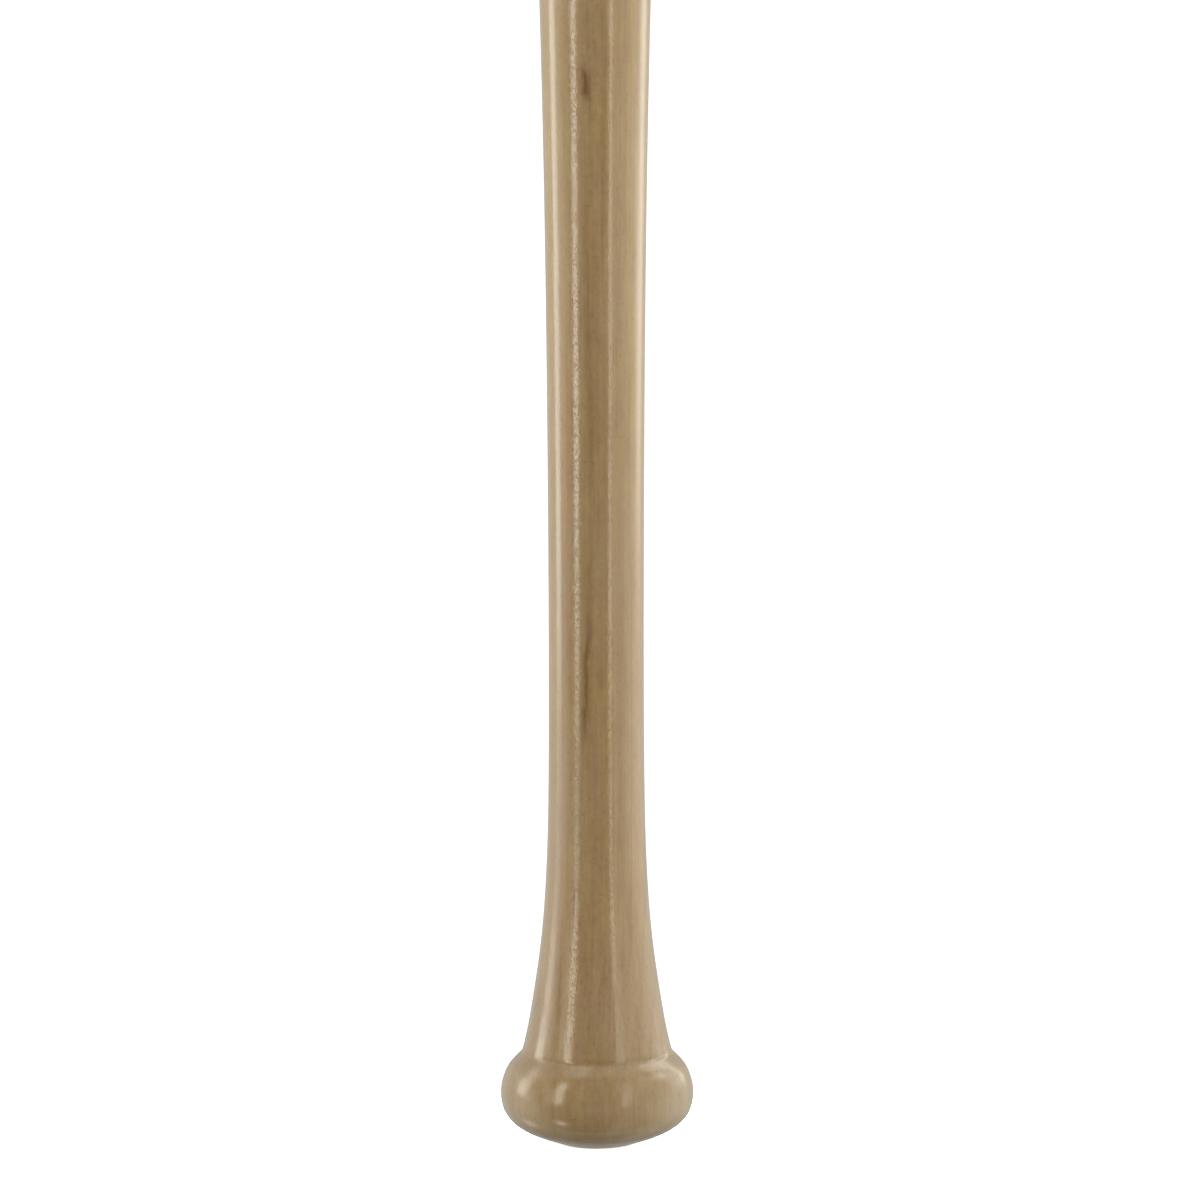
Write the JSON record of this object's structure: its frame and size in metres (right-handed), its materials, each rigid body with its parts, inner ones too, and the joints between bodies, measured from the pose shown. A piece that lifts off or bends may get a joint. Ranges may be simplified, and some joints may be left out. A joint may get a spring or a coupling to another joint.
{
  "type": "baseball bat",
  "caption": "Round turned wooden baseball bat: rounded knob, flared handle, long taper to the barrel and a cupped end, under a clear gloss lacquer film.",
  "frame": {"origin": "centre of the knob's flat bottom, where the bat stands", "axes": "+Z along the bat's axis from the knob to the barrel end; the bat is round, so +X and +Y are any two square directions across it"},
  "size_m": [0.0636, 0.0636, 0.8382],
  "materials": {
    "billet_wood": "straight-grained pale hardwood, natural, fine sanded",
    "clear_lacquer": "clear gloss lacquer, smooth with slight orange peel"
  },
  "bodies": {
    "root": {"turned_billet": "billet_wood", "lacquer_coat": "clear_lacquer"}
  },
  "joints": []
}
